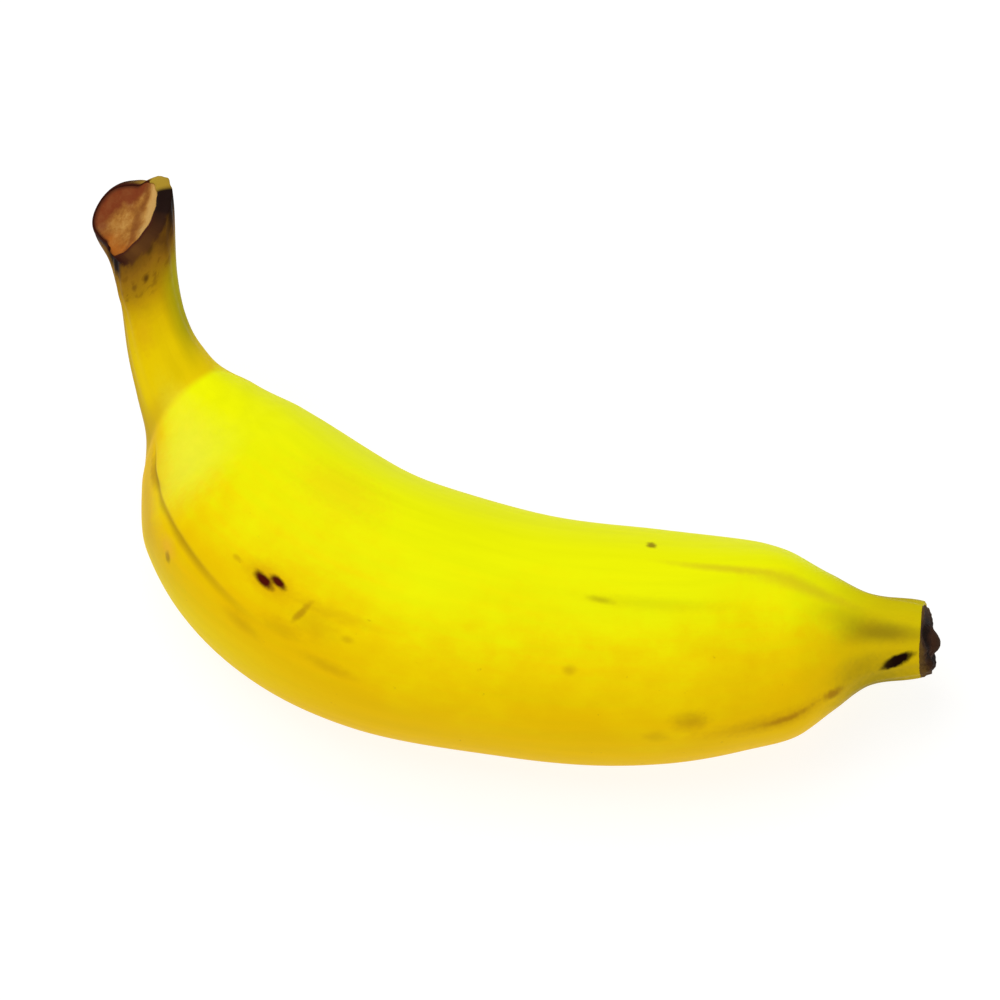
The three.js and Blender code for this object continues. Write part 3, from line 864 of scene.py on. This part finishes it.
# %% Fibre tint, roughness and bump
fleck_field = noise(tree, straightened, 0.75, detail=2, roughness=0.6)
flecks = times(tree, smooth_step(tree, fleck_field, 0.71, 0.8), smooth_step(tree, gold, 0.15, 0.7))
peel_colour = lay_over(tree, peel_colour, BROWN, flecks, 0.3)
lighter = times_plus(tree, fibre["Coarse"], 0.16, 0.92)
tint = add_node(tree, "ShaderNodeCombineColor", {0: lighter, 1: lighter, 2: lighter}).outputs[0]
peel_colour = blend_colour(tree, 0.8, peel_colour, tint, "MULTIPLY")
tree.links.new(peel_colour, shader.inputs["Base Color"])
tree.links.new(times_plus(tree, fibre["Fine"], 0.16, 0.4), shader.inputs["Roughness"])
height = calculate(tree, "ADD", times(tree, fibre["Coarse"], 0.7), times(tree, fibre["Fine"], 0.3))
add_bump(tree, shader, height, strength=0.35, distance=0.15)
peel.data.materials.append(peel_material)

# %% [markdown]
# ## Dried cut and dried blossom
# The cut face is tan to orange-brown, lighter towards the inside of the bend, with a reddish patch
# and a dark edge. The blossom is dark brown and dull. The grain is plain noise on Object coordinates,
# because both are small and hardly bent, and the place kept at each point tells one zone from
# another.

# %% Cut face finish
CUT_BY_GRAIN = [(0.3, colour(132, 78, 28)), (0.5, colour(168, 112, 46)), (0.7, colour(196, 146, 74))]
CUT_SIDES = {"inside": 30, "orange": 145, "dark edge": 215, "red": 262}
CUT_GRAIN, CUT_PATCHES, BLOSSOM_GRAIN = 420, 300, 900.0  # bumps to a metre
cut_material, tree, shader = new_material("dried_stem_cut", roughness=0.75, specular=0.06)
place = add_node(tree, "ShaderNodeTexCoord").outputs["Object"]
face_at = add_node(tree, "ShaderNodeAttribute", attribute_name="face_place").outputs["Vector"]
grain = noise(tree, place, CUT_GRAIN, detail=4, roughness=0.65)
patch = minus(tree, noise(tree, place, CUT_PATCHES, detail=3), 0.5)


def vector_value(tree, operation, *vectors):
    """One Vector Math node that puts out a value."""
    inputs = dict(enumerate(vectors))
    return add_node(tree, "ShaderNodeVectorMath", inputs, operation=operation).outputs["Value"]


def towards(tree, degrees):
    """How far a place on the face lies towards a side, from -1 to 1, with a ragged border."""
    direction = (math.cos(math.radians(degrees)), math.sin(math.radians(degrees)), 0)
    return times_plus(tree, patch, 0.5, vector_value(tree, "DOT_PRODUCT", face_at, direction))


inside = towards(tree, CUT_SIDES["inside"])
crescent = smooth_step(tree, inside, 0.3, 0.62)
orange = smooth_step(tree, towards(tree, CUT_SIDES["orange"]), 0.25, 0.7)
red = smooth_step(tree, towards(tree, CUT_SIDES["red"]), 0.24, 0.55)
dark_line = times(tree, smooth_step(tree, inside, 0.02, 0.22), smooth_step(tree, inside, 0.42, 0.24))
share = vector_value(tree, "LENGTH", face_at)
dark_edge = smooth_step(tree, towards(tree, CUT_SIDES["dark edge"]), -0.1, 0.4)
dark_edge = times(tree, smooth_step(tree, share, 0.7, 0.79), dark_edge)
cut_colour = colour_ramp(tree, grain, CUT_BY_GRAIN)
for mask, strength, shade in ((crescent, 0.95, colour(204, 160, 90)), (orange, 0.8, colour(172, 92, 22)),
                              (red, 0.85, colour(116, 42, 22)), (dark_line, 0.6, colour(122, 66, 26)),
                              (dark_edge, 0.8, colour(60, 28, 16))):
    cut_colour = lay_over(tree, cut_colour, shade, mask, strength)
tree.links.new(cut_colour, shader.inputs["Base Color"])
add_bump(tree, shader, grain, strength=0.6, distance=0.3)
stem_cut.data.materials.append(cut_material)

# %% Blossom finish
BLOSSOM_BY_SHARE = [(0.18, colour(58, 36, 22)), (0.34, colour(62, 36, 20)), (0.52, colour(26, 14, 10)),
                    (0.8, colour(60, 36, 16)), (0.97, colour(96, 70, 28))]
blossom_material, tree, shader = new_material("dried_blossom", roughness=0.8, specular=0.1)
place = add_node(tree, "ShaderNodeTexCoord").outputs["Object"]
grain = noise(tree, place, BLOSSOM_GRAIN, detail=4, roughness=0.65)
face_at = add_node(tree, "ShaderNodeAttribute", attribute_name="face_place").outputs["Vector"]
share = vector_value(tree, "LENGTH", face_at)
ragged_share = times_plus(tree, minus(tree, grain, 0.5), 0.35, share)
blossom_colour = colour_ramp(tree, ragged_share, BLOSSOM_BY_SHARE)
tree.links.new(blossom_colour, shader.inputs["Base Color"])
add_bump(tree, shader, grain, strength=0.8, distance=0.4)
blossom.data.materials.append(blossom_material)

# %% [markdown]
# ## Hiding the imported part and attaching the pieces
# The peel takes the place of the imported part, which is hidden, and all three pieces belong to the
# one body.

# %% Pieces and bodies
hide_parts("banana")
for piece, slot in ((peel, "peel"), (stem_cut, "stem_cut"), (blossom, "blossom_end")):
    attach(piece, "root")

# %% [markdown]
# ## Table, light and camera
# The fruit lies on a plain white table, which glows a little so that it stays white. One large soft
# light hangs high over the stem's side, and a weaker one is in front, at the tip's side. The camera
# looks down at 60 degrees, from 30 degrees round.

# %% Table
TABLE_HALF = 3.0
TABLE_GAP = 0.1 * MM
TABLE_GREY, TABLE_GLOW = 0.3, 0.78
table_mesh = bpy.data.meshes.new("table")
corners = [(x * TABLE_HALF, y * TABLE_HALF, -TABLE_GAP) for x, y in ((-1, -1), (1, -1), (1, 1), (-1, 1))]
table_mesh.from_pydata(corners, [], [(0, 1, 2, 3)])
table = add_object("table", table_mesh)
table_material, tree, shader = new_material("white_table", roughness=0.9, specular=0.1)
shader.inputs["Base Color"].default_value = (TABLE_GREY, TABLE_GREY, TABLE_GREY, 1)
shader.inputs["Emission Color"].default_value = (1, 1, 1, 1)
shader.inputs["Emission Strength"].default_value = TABLE_GLOW
table.data.materials.append(table_material)

# %% Soft light
ROOM_LIGHT = 0.52
world = bpy.data.worlds.new("soft_room")
bpy.context.scene.world = world
world.use_nodes = True
background = world.node_tree.nodes["Background"]
background.inputs["Color"].default_value = (1, 1, 1, 1)
background.inputs["Strength"].default_value = ROOM_LIGHT


def soft_light(name, place, size, watts):
    """Square area light at a place, aimed at the fruit."""
    lamp = bpy.data.lights.new(name, "AREA")
    lamp.size, lamp.energy = size, watts
    holder = add_object(name, lamp)
    holder.location = place
    holder.rotation_euler = (-Vector(place)).to_track_quat("-Z", "Y").to_euler()


soft_light("key_light", (-0.4, -0.1, 1.25), 1, 7.7)
soft_light("fill_light", (0.7, -0.7, 0.9), 0.9, 2.2)

# %% Camera
AZIMUTH, ELEVATION = math.radians(30), math.radians(60)
CAMERA_DISTANCE = 900 * MM
TARGET = Vector((-BOX_MIDDLE[0], -BOX_MIDDLE[1], 20)) * MM
SENSOR = 36
MM_PER_PIXEL, PICTURE = 0.1635, 1000
level = math.cos(ELEVATION)
back = Vector((math.sin(AZIMUTH) * level, -math.cos(AZIMUTH) * level, math.sin(ELEVATION)))
camera_data = bpy.data.cameras.new("camera")
camera_data.sensor_width = SENSOR
camera_data.lens = SENSOR * CAMERA_DISTANCE / (MM_PER_PIXEL * MM * PICTURE)
camera = add_object("camera", camera_data)
camera.location = TARGET + back * CAMERA_DISTANCE
camera.rotation_euler = (-back).to_track_quat("-Z", "Y").to_euler()
bpy.context.scene.camera = camera
bpy.context.scene.view_settings.view_transform = "Standard"
